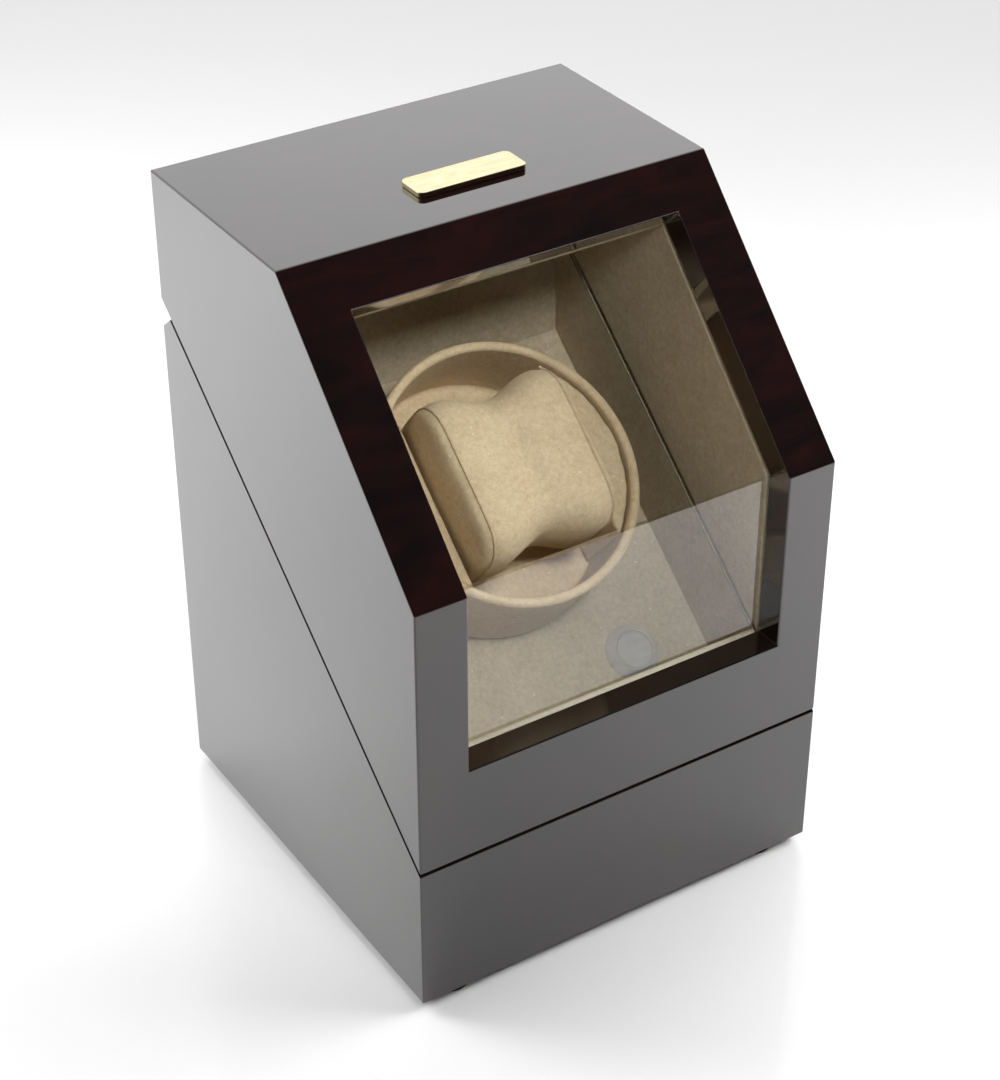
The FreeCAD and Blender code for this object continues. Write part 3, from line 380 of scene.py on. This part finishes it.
def boardLaminate():
    finish = Finish("boardLaminate")
    tracks = finish.cells(420, finish.stretched((1, 1, 0.25))) < 0.1
    colour = finish.blend(tracks*0.5, shade(0.012, 0.09, 0.035), shade(0.05, 0.22, 0.09))
    pads = finish.cells(240, randomness=0.6) < 0.07
    colour = finish.blend(pads, colour, shade(0.62, 0.6, 0.55))
    return finish.surface(Base_Color=colour, Roughness=0.35, Coat_Weight=0.3,
                          Metallic=pads*0.8, Normal=finish.bump(tracks, 0.2, 0.00005))


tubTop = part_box("tub_left_wall")[1]
liningGap = 1.0*mm                                    # between the tub's boards and the lid's
partingLine = Vector((0, tubTop.y, tubTop.z)) + panelUp*liningGap/2
caseLacquer = lacquer()
# the wall suede's last argument paints shade along the parting line between the tub's boards and the lid's
wallSuede = suede("wallSuede", shade(0.370, 0.300, 0.205), shade(0.560, 0.470, 0.340),
                  shade(0.80, 0.73, 0.60), 0.2,
                  ((partingLine, 0.9*mm),))
drumSuede = suede("drumSuede", shade(0.520, 0.385, 0.235), shade(0.740, 0.590, 0.400),
                  shade(0.92, 0.85, 0.72), 0.4)
# a paler copy of the wall suede: painted highlight where the front lining's top edge catches light from above
litEdgeSuede = suede("litEdgeSuede", shade(0.680, 0.590, 0.460), shade(0.850, 0.780, 0.650),
                  shade(0.95, 0.90, 0.80), 0.4)
# a darker copy of the drum suede for the cuff's seams: painted shade of their creases
seamShadeSuede = suede("seamShadeSuede", shade(0.420, 0.300, 0.175), shade(0.620, 0.480, 0.310),
                  shade(0.80, 0.73, 0.60), 0.2)
paneGlass = clearGlass()
plateBrass = brushedMetal("plateBrass", shade(0.66, 0.54, 0.30), shade(0.90, 0.80, 0.55),
                          0.26, (40, 2600, 2600))
buttonSteel = brushedMetal("buttonSteel", shade(0.62, 0.61, 0.60), shade(0.74, 0.73, 0.72),
                           0.36, (60, 420, 420), metallic=0.45)
hingeBrass = brushedMetal("hingeBrass", shade(0.50, 0.34, 0.13), shade(0.80, 0.60, 0.28),
                          0.3, (120, 1500, 1500))
screwSteel = brushedMetal("screwSteel", shade(0.42, 0.42, 0.43), shade(0.70, 0.70, 0.70),
                          0.28, (900, 900, 900))
shaftSteel = brushedMetal("shaftSteel", shade(0.52, 0.52, 0.53), shade(0.72, 0.72, 0.73),
                          0.18, (1500, 1500, 300))
bushBrass = brushedMetal("bushBrass", shade(0.55, 0.38, 0.14), shade(0.78, 0.60, 0.28),
                         0.32, (900, 900, 900))
footRubber = moulded("footRubber", shade(0.008, 0.008, 0.008), shade(0.022, 0.021, 0.020), 0.75, 1400, 0.4)
housingPlastic = moulded("housingPlastic", shade(0.012, 0.012, 0.013), shade(0.030, 0.030, 0.032), 0.5)
coverPlastic = moulded("coverPlastic", shade(0.010, 0.010, 0.010), shade(0.024, 0.024, 0.024),
                       0.6, 900, 0.5)
gearPlastic = moulded("gearPlastic", shade(0.70, 0.68, 0.60), shade(0.84, 0.82, 0.75), 0.38, 1800, 0.1)
bandPlastic = moulded("bandPlastic", shade(0.02, 0.02, 0.02), shade(0.05, 0.05, 0.05), 0.45)
boardGreen = boardLaminate()
print("finishes ready")

# lacquered case

caseSizes = {"lidEdge": 0.55*mm, "baseEdge": 0.4*mm, "splitGap": 0.783*mm, "windowMargin": 15.9*mm,
             "hingeX": 40.0*mm, "leafRoom": 22.6*mm, "leafWidth": 6.3*mm, "leafThick": 1.0*mm,
             "leafDrop": 0.609*mm, "knuckleRoom": 2.4*mm, "split": 40, "chamfer": 39,
             "jackRoom": 6.05*mm, "jackDepth": 4.2*mm, "past": 20*mm}


def hingeRooms(angle, low, high, drop):
    # what the two hinges take out of one shell: a bed for the leaf and a groove for its knuckles
    size = caseSizes
    half = size["leafRoom"]/2
    tools = []
    for x in (-size["hingeX"], size["hingeX"]):
        there = Matrix.Translation(hingeLine + Vector((x, 0, 0)))
        leaf = block("leafTool", (-half, 0, low), (half, size["leafWidth"], high))
        moveTo(leaf, there @ Matrix.Rotation(math.radians(angle), 4, "X") @ Matrix.Translation((0, 0, drop)))
        groove = roundBar("grooveTool", size["knuckleRoom"], -half, half, 48)
        moveTo(groove, there @ Matrix.Rotation(math.pi/2, 4, "Y"))
        tools += [leaf, groove]
    return tools


def makeLidShell():
    size = caseSizes
    inset = Vector((wall, wall, wall))
    shell = block("lidShell", caseLow, caseHigh)
    trim(shell, hingeLine, -panelUp)
    trim(shell, breakPoint, slopeOut)
    room = block("lidRoom", caseLow + inset, caseHigh - inset)
    trim(room, breakPoint - slopeOut*wall, slopeOut)
    window = block("lidWindow", (-windowHalf, caseLow.y - size["past"], sillHeight),
                   (windowHalf, topEdge.y + size["past"]/2, caseHigh.z + size["past"]))
    trim(window, topEdge - slopeAlong*size["windowMargin"], slopeAlong)
    carve(shell, room, window)
    soften(shell, size["lidEdge"])
    carve(shell, *hingeRooms(size["split"], 0, size["leafThick"], 0))
    return finishPiece(shell, caseLacquer, "lid", "lacquered_wood", "lid_left_side", "lid_right_side",
                       "lid_top_panel", "lid_rear_panel", "lid_front_frame", "lid_slope_frame")


def makeBaseShell():
    size = caseSizes
    past = Vector((0, 0, size["past"]))
    inset = Vector((wall, wall, 0))
    high = Vector((caseHigh.x, caseHigh.y, rearBox[1].z)) + past
    shell = block("baseShell", caseLow, high)
    crest = hingeLine - Vector((0, 0, size["splitGap"]))
    trim(shell, crest, panelUp)
    lean = math.radians(size["chamfer"])
    trim(shell, crest, Vector((0, math.sin(lean), math.cos(lean))))
    carve(shell, block("baseRoom", caseLow + inset - past, high - inset + past))
    soften(shell, size["baseEdge"])
    jackLow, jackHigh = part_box("dc_jack")
    middle = (jackLow + jackHigh)/2
    jack = roundBar("jackTool", size["jackRoom"], -size["jackDepth"], size["jackDepth"], 64)
    moveTo(jack, Matrix.Translation((middle.x, caseHigh.y, middle.z)) @ Matrix.Rotation(math.pi/2, 4, "X"))
    carve(shell, jack, *hingeRooms(-size["chamfer"], -size["leafThick"], 0, -size["leafDrop"]))
    return finishPiece(shell, caseLacquer, "base", "lacquered_wood", "base_left_side", "base_right_side",
                       "base_front_panel", "base_rear_panel")


makeLidShell()
makeBaseShell()
print("case ready")

# suede-covered boards

liningSizes = {"front": 1.9*mm, "joint": 0.45*mm, "rail": 1.15*mm, "seam": 0.8*mm, "near": 0.1*mm}
liningEdges = {"tub_left_wall": "joint", "tub_right_wall": "joint", "tub_rear_wall": "joint",
               "tub_front_wall": "seam", "drum_panel": "joint", "lid_left_lining": "joint",
               "lid_right_lining": "joint", "lid_rear_lining": "joint", "lid_top_lining": "seam",
               "lid_front_lining": "rail"}


def atWindow(middle, along):
    # the inner edges of a lid side lining that show through the glass
    inner = abs(abs(middle.x) - windowHalf) < liningSizes["near"]
    upright = abs(middle.y - caseLow.y - wall) < liningSizes["near"]
    return inner and (upright or abs(along.dot(slopeAlong)) > 0.99)


for node, edgeKind in liningEdges.items():
    board = copyNode(node, node.replace("_", "-") + "-suede")
    if node in ("lid_left_lining", "lid_right_lining"):
        softenWhere(board, liningSizes["front"], 5, atWindow)
    soften(board, liningSizes[edgeKind], 4, 50)
    body = "lid" if node.startswith("lid") else "base"
    # the front lining takes the paler suede, a painted highlight on its top edge
    pale = node == "lid_front_lining"
    cover, slotName = (litEdgeSuede, "suede_light") if pale else (wallSuede, "suede_wall")
    finishPiece(board, cover, body, slotName, node)
print("linings ready")

# drum: rolled ring, two padded blocks

drumSizes = {"radius": 42.2*mm, "wall": 3.0*mm, "low": 1.0*mm, "high": 32.5*mm, "floor": 4.0*mm,
             "rim": 1.45*mm, "padEdge": 3.0*mm, "slotHalf": 25.0*mm, "padInset": 0.5*mm,
             "padLow": 4.2*mm, "padHigh": 30.9*mm, "padVoxel": 1.6*mm, "padPressure": 2.0, "padSwell": 0.9*mm}
clothSettings = {"quality": 6, "mass": 0.2, "tension_stiffness": 12, "compression_stiffness": 12,
                 "shear_stiffness": 5, "bending_stiffness": 0.6, "use_pressure": True}
clothFrames = 20


def selectFaces(piece, test):
    selectOnly(piece)
    for part in (*piece.data.edges, *piece.data.vertices):
        part.select = False
    for face in piece.data.polygons:
        face.select = test(face)
        if face.select:
            for index in face.vertices:
                piece.data.vertices[index].select = True
    bpy.ops.object.mode_set(mode="EDIT")
    bpy.ops.mesh.select_mode(type="FACE")


def makeDrumRing():
    size = drumSizes
    ring = roundBar("drumRing", size["radius"], size["low"], size["high"], 160)
    selectFaces(ring, lambda face: face.normal.z > 0.9)
    bpy.ops.mesh.inset(thickness=size["wall"])
    bpy.ops.mesh.extrude_region_move(TRANSFORM_OT_translate={"value": (0, 0, size["floor"] - size["high"])})
    editDone()
    soften(ring, size["rim"], 6, 50)
    moveTo(ring, panelFrame)
    return finishPiece(ring, drumSuede, "drum", "suede_light", "drum_cup")


def simulate(piece, pressure, cap):
    # lets the cover swell under its stuffing, then holds back any point that moved too far
    rest = [vertex.co.copy() for vertex in piece.data.vertices]
    selectOnly(piece)
    cloth = piece.modifiers.new("Cloth", "CLOTH")
    for key, value in clothSettings.items():
        setattr(cloth.settings, key, value)
    cloth.settings.uniform_pressure_force = pressure
    cloth.settings.effector_weights.gravity = 0
    cloth.point_cache.frame_start = 1
    cloth.point_cache.frame_end = clothFrames
    scene = bpy.context.scene
    for moment in range(1, clothFrames + 1):
        scene.frame_set(moment)
        bpy.context.view_layer.update()
    bpy.ops.object.modifier_apply(modifier=cloth.name)
    for vertex, start in zip(piece.data.vertices, rest):
        shift = vertex.co - start
        if shift.length > cap:
            vertex.co = start + shift*(cap/shift.length)
    scene.frame_set(1)
    return piece


def pillow(piece, voxel, pressure, cap):
    modify(piece, "REMESH", mode="VOXEL", voxel_size=voxel, use_smooth_shade=True)
    simulate(piece, pressure, cap)
    modify(piece, "SMOOTH", factor=0.5, iterations=3)
    modify(piece, "SUBSURF", levels=1, render_levels=1)
    selectOnly(piece)
    bpy.ops.object.shade_smooth()
    return piece


def makePad(side, node, name):
    size = drumSizes
    reach = size["radius"] - size["wall"] - size["padInset"]
    pad = roundBar(name, reach, size["padLow"], size["padHigh"], 128)
    trim(pad, (side*(size["slotHalf"] + size["padInset"]), 0, 0), (-side, 0, 0))
    soften(pad, size["padEdge"], 4, 60, False)
    pillow(pad, size["padVoxel"], size["padPressure"], size["padSwell"])
    moveTo(pad, panelFrame)
    return finishPiece(pad, drumSuede, "drum", "suede_light", node)


makeDrumRing()
makePad(-1, "drum_left_pad", "drumPadLeft")
makePad(1, "drum_right_pad", "drumPadRight")
print("drum ready")

# cuff: a suede cushion with a roll at each end and a waist for the strap

cuffSizes = {"length": 47.0*mm, "along": 53.0*mm, "thick": 35.0*mm, "middle": 29.0*mm, "round": 11.0*mm,
             "waist": 0.84, "endScale": 0.90, "roll": 16.5*mm, "steps": 16, "voxel": 1.6*mm,
             "pressure": 3.0, "swell": 1.4*mm, "seam": 20.6*mm, "piping": 0.42*mm}


def makeCuff():
    size = cuffSizes
    half = Vector((size["length"], size["along"], size["thick"]))/2
    centre = Vector((0, 0, size["middle"]))
    cuff = block("cuffCushion", centre - half, centre + half)
    selectOnly(cuff)
    longEdges = cuff.data.attributes.new("bevel_weight_edge", "FLOAT", "EDGE")
    for edge in cuff.data.edges:
        ends = [cuff.data.vertices[index].co for index in edge.vertices]
        longEdges.data[edge.index].value = 1.0 if abs(ends[0].x - ends[1].x) > size["length"]/2 else 0.0
    modify(cuff, "BEVEL", width=size["round"], segments=7, limit_method="WEIGHT")
    editAll(cuff)
    for index in range(1, size["steps"]):
        bpy.ops.mesh.select_all(action="SELECT")
        bpy.ops.mesh.bisect(plane_co=(size["length"]*(index/size["steps"] - 0.5), 0, 0), plane_no=(1, 0, 0))
    editDone()
    for vertex in cuff.data.vertices:
        reach = abs(vertex.co.x)
        if reach < size["roll"]:
            blendIn = 0.5 + 0.5*math.cos(math.pi*reach/size["roll"])
            factor = 1.0 + (size["waist"] - 1.0)*blendIn
        else:
            outer = (reach - size["roll"])/(size["length"]/2 - size["roll"])
            factor = 1.0 + (size["endScale"] - 1.0)*outer**2.2
        vertex.co.y *= factor
        vertex.co.z = centre.z + (vertex.co.z - centre.z)*factor
    pillow(cuff, size["voxel"], size["pressure"], size["swell"])
    return cuff


def makePiping(cuff, reach, name):
    # a thin seam where a plane across the cuff meets its cover
    selectOnly(cuff)
    bpy.ops.object.duplicate()
    editAll(bpy.context.object)
    bpy.ops.mesh.bisect(plane_co=(reach, 0, 0), plane_no=(1, 0, 0), clear_inner=True, clear_outer=True)
    editDone()
    selectOnly(bpy.context.object)
    bpy.ops.object.convert(target="CURVE")
    bpy.context.object.data.bevel_depth = cuffSizes["piping"]
    bpy.context.object.data.bevel_resolution = 3
    bpy.ops.object.convert(target="MESH")
    piping = selectOnly(bpy.context.object)
    bpy.ops.object.shade_smooth()
    piping.name = name
    return piping


cuff = makeCuff()
pipings = [makePiping(cuff, -cuffSizes["seam"], "cuffPipingLeft"),
           makePiping(cuff, cuffSizes["seam"], "cuffPipingRight")]
for piping in pipings:
    moveTo(piping, panelFrame)
    finishPiece(piping, seamShadeSuede, "cuff", "suede_light")
moveTo(cuff, panelFrame)
finishPiece(cuff, drumSuede, "cuff", "suede_light", "cuff_cushion")
print("cuff ready")

# push button

buttonSizes = {"across": 29.0*mm, "along": -59.0*mm, "low": 8.8*mm, "lip": 0.5*mm, "top": 6.45*mm,
               "high": 2.6*mm, "bore": 6.0*mm, "well": -4.0*mm, "edge": 0.16*mm, "cap": 5.9*mm,
               "capLow": -2.4*mm, "dishRim": 0.7*mm, "dish": 0.18*mm, "capEdge": 0.18*mm}
buttonFrame = panelFrame @ Matrix.Translation((buttonSizes["across"], buttonSizes["along"], 0))


def makeBezel():
    size = buttonSizes
    bezel = roundBar("buttonBezel", size["low"], 0.0, size["lip"], 128)
    selectFaces(bezel, lambda face: face.normal.z > 0.9)
    bpy.ops.mesh.extrude_region_move(TRANSFORM_OT_translate={"value": (0, 0, size["high"] - size["lip"])})
    factor = size["top"]/size["low"]
    bpy.ops.transform.resize(value=(factor, factor, 1), center_override=(0, 0, size["high"]))
    bpy.ops.mesh.inset(thickness=size["top"] - size["bore"])
    bpy.ops.mesh.extrude_region_move(TRANSFORM_OT_translate={"value": (0, 0, size["well"] - size["high"])})
    editDone()
    soften(bezel, size["edge"], 3, 25)
    moveTo(bezel, buttonFrame)
    return finishPiece(bezel, buttonSteel, "base", "button_metal", "button_bezel")


def makeCap():
    size = buttonSizes
    cap = roundBar("buttonCap", size["cap"], size["capLow"], size["high"], 128)
    selectFaces(cap, lambda face: face.normal.z > 0.9)
    bpy.ops.mesh.inset(thickness=size["dishRim"])
    bpy.ops.transform.translate(value=(0, 0, -size["dish"]))
    editDone()
    soften(cap, size["capEdge"], 3, 12)
    moveTo(cap, buttonFrame)
    return finishPiece(cap, buttonSteel, "button", "button_metal", "button_cap")


makeBezel()
makeCap()
print("button ready")

# name plate, feet

plateSizes = {"edge": 0.35*mm, "rim": 0.9*mm, "sink": 0.15*mm}
footSizes = {"radius": 6.2*mm, "taper": 0.5*mm, "ring": 1.6*mm, "hollow": 0.5*mm, "edge": 0.35*mm}


def makePlate():
    plate = copyNode("name_plate", "namePlate")
    selectFaces(plate, lambda face: face.normal.z > 0.9)
    bpy.ops.mesh.inset(thickness=plateSizes["rim"])
    bpy.ops.transform.translate(value=(0, 0, -plateSizes["sink"]))
    editDone()
    soften(plate, plateSizes["edge"], 3, 40)
    return finishPiece(plate, plateBrass, "lid", "polished_brass", "name_plate")


def makeFeet():
    size = footSizes
    low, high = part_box("rubber_feet")
    radius = size["radius"]
    tread = radius - size["taper"]
    feet = []
    for x in (low.x + radius, high.x - radius):
        for y in (low.y + radius, high.y - radius):
            foot = roundBar("foot", tread, low.z, high.z, 64, (x, y))
            selectFaces(foot, lambda face: face.normal.z > 0.9)
            bpy.ops.transform.resize(value=(radius/tread, radius/tread, 1), center_override=(x, y, high.z))
            editDone()
            selectFaces(foot, lambda face: face.normal.z < -0.9)
            bpy.ops.mesh.inset(thickness=size["ring"])
            bpy.ops.transform.translate(value=(0, 0, size["hollow"]))
            editDone()
            feet.append(soften(foot, size["edge"], 3, 30))
    return finishPiece(joined("rubberFeet", feet), footRubber, "base", "foot_rubber", "rubber_feet")


makePlate()
makeFeet()
print("plate and feet ready")

# parts whose modelled shape stays as it is

keptFinishes = {
    "base_bottom_panel": caseLacquer, "front_pane": paneGlass, "slope_pane": paneGlass,
    "access_cover": coverPlastic, "cover_screws": screwSteel, "drum_shaft": shaftSteel,
    "drum_screw": screwSteel, "cuff_core": bandPlastic, "shaft_bush": bushBrass, "drum_wheel": gearPlastic,
    "second_gear": gearPlastic, "first_gear": gearPlastic, "motor_pinion": bushBrass,
    "gearbox_housing": housingPlastic, "gearbox_cover": housingPlastic, "gear_axles": shaftSteel,
    "motor": screwSteel, "motor_shaft": shaftSteel, "gearbox_screws": screwSteel, "bezel_nut": screwSteel,
    "switch_body": housingPlastic, "circuit_board": boardGreen, "board_spacers": gearPlastic,
    "dc_jack": housingPlastic, "jack_nut": screwSteel,
    "hinge_base_leaves": hingeBrass, "hinge_lid_leaves": hingeBrass, "hinge_pins": shaftSteel,
    "hinge_base_screws": screwSteel, "hinge_lid_screws": screwSteel}
for node, material in keptFinishes.items():
    piece = nodes[node]
    piece.data.materials.clear()
    piece.data.materials.append(material)
print("hardware ready")

# floor, light, camera

studio = {"floor": 6.0, "backdrop": 1.8, "shade": 0.02, "fadeFrom": -0.15, "fadeTo": 0.35}
lamps = {
    "key": {"place": (-0.45, 0.45, 0.40), "aim": (-0.28, 0.28, 0.0), "size": 0.3, "power": 1.5,
            "spread": 120},
    "fill": {"place": (-0.05, -0.45, 0.62), "aim": (0, 0.02, 0.16), "size": 0.12, "power": 0.16,
             "spread": 35},
    "side": {"place": (0.40, -0.24, 0.42), "aim": (0.22, -0.17, 0.0), "size": 0.35, "power": 1.75,
             "spread": 130}}
cameraView = {"place": (-0.3400, -0.5285, 0.5219), "towards": (0.45156, 0.69765, -0.55622), "lens": 82.84,
              "sensor": 36.0}


def makeFloor():
    selectOnly(None)
    bpy.ops.mesh.primitive_plane_add(size=studio["floor"], location=(0, 0, 0))
    floor = bpy.context.object
    floor.name = "floor"
    finish = Finish("paleFloor")
    tone = finish.noise(3.0, 2.0, 0.5)
    colour = finish.blend(tone*0.3, shade(0.97, 0.97, 0.97), shade(0.95, 0.95, 0.95))
    floor.data.materials.append(finish.surface(Base_Color=colour, Roughness=0.12))


def makeSky():
    # bright behind the box and dark in front of it, so the slope reflects almost nothing
    world = bpy.data.worlds.new("studio")
    bpy.context.scene.world = world
    sky = Finish("studio", world)
    direction = sky.add("ShaderNodeTexCoord", {}, {}, "Generated")
    depth = sky.add("ShaderNodeSeparateXYZ", {}, {"Vector": direction}, "Y")
    strength = sky.span(depth, studio["fadeFrom"], studio["fadeTo"], studio["shade"], studio["backdrop"])
    sky.output(sky.add("ShaderNodeBackground", {}, {"Strength": strength}), "ShaderNodeOutputWorld")


def pointAt(name, data, place, direction):
    holder = bpy.data.objects.new(name, data)
    bpy.context.scene.collection.objects.link(holder)
    holder.location = place
    holder.rotation_euler = direction.to_track_quat("-Z", "Y").to_euler()
    return holder


def makeLamp(name, look):
    lamp = bpy.data.lights.new(name, "AREA")
    lamp.shape = "RECTANGLE"
    lamp.size = look["size"]
    lamp.size_y = look["size"]
    lamp.energy = look["power"]
    lamp.spread = math.radians(look["spread"])
    holder = pointAt(name, lamp, look["place"], Vector(look["aim"]) - Vector(look["place"]))
    holder.visible_glossy = False                        # lights the scene without a glare of its own


makeFloor()
makeSky()
for name, look in lamps.items():
    makeLamp(name, look)

lens = bpy.data.cameras.new("camera")
camera = pointAt("camera", lens, cameraView["place"], Vector(cameraView["towards"]))
lens.lens = cameraView["lens"]
lens.sensor_width = cameraView["sensor"]
bpy.context.scene.camera = camera
bpy.context.scene.view_settings.view_transform = "Standard"
bpy.context.scene.view_settings.look = "None"
print("studio ready")
